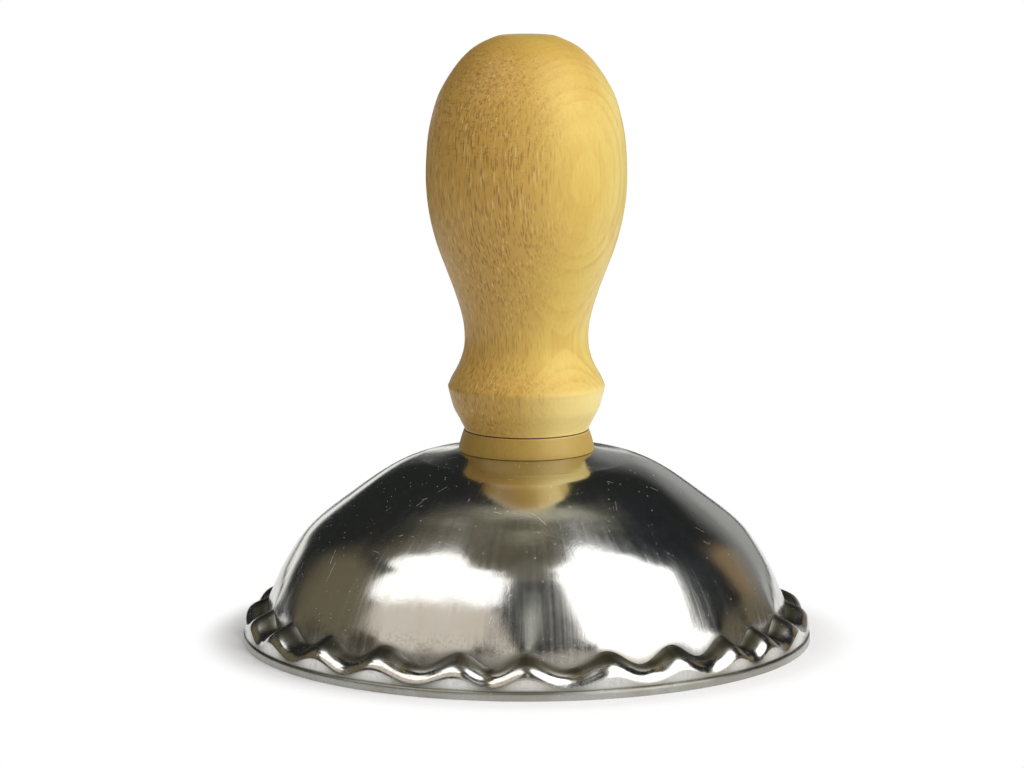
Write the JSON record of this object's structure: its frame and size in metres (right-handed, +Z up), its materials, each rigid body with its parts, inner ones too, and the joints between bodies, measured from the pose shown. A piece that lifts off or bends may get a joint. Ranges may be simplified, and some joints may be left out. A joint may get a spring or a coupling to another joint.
{
  "type": "pierogi cutter",
  "caption": "Round dumpling cutter: a domed pressed-steel stamp with a crimped edge and a plain cutting lip, under a turned wooden handle.",
  "frame": {"origin": "centre of the circular cutting edge, on the plane that the cutter stands on", "axes": "+Z up along the axis of the dome and handle; -Y is the side that faces the viewer, where a crest of the crimps lies"},
  "size_m": [0.1, 0.1, 0.106],
  "materials": {
    "polished_steel": "polished sheet steel with fine scratches and faint brushing",
    "beech": "turned beech, sanded and lightly oiled, with short dark flecks",
    "zinc_screw": "zinc-plated wood screw",
    "zinc_washer": "zinc-plated flat washer"
  },
  "bodies": {
    "root": {"cutter_shell": "polished_steel", "handle": "beech", "handle_screw": "zinc_screw", "screw_washer": "zinc_washer"}
  },
  "joints": []
}
